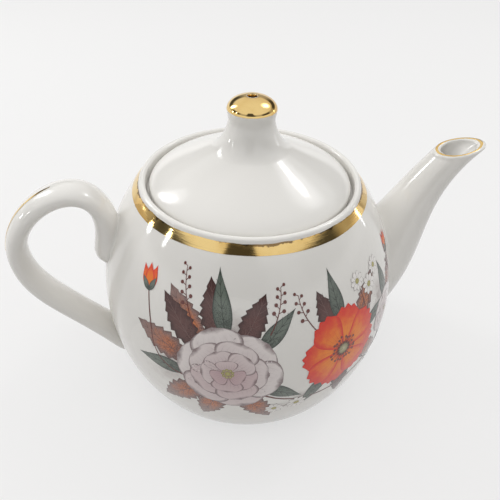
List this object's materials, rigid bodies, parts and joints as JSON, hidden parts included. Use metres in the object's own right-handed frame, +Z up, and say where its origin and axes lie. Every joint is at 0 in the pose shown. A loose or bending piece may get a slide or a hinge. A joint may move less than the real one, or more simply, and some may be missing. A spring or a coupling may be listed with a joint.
{
  "type": "teapot",
  "caption": "Round-bellied porcelain teapot with a curved pouring spout, looped handle, gilded rim and a loose knobbed lid that lifts out.",
  "frame": {"origin": "on the pot's own axis, on the plane that the foot ring stands on", "axes": "+X towards the spout, with the handle on -X; +Z up along the pot's axis; +Y completes a right-handed set"},
  "size_m": [0.2007, 0.125, 0.1289],
  "materials": {
    "white_porcelain": "clear high gloss glaze over white porcelain",
    "fired_gold": "bright fired gold, brushed on by hand and polished"
  },
  "bodies": {
    "pot": {"pot_body": "white_porcelain", "pot_shoulder": "white_porcelain", "strainer": "white_porcelain", "spout": "white_porcelain", "handle": "white_porcelain", "shoulder_gold_band": "fired_gold", "spout_lip_gold": "fired_gold", "handle_gold_stroke": "fired_gold"},
    "lid": {"lid": "white_porcelain", "lid_knob": "white_porcelain", "knob_gold_cap": "fired_gold"}
  },
  "joints": [
    {"name": "lid_lift", "type": "slide", "parent": "pot", "child": "lid", "axis": [0, 0, 1], "range_m": [0, 0.06]}
  ]
}
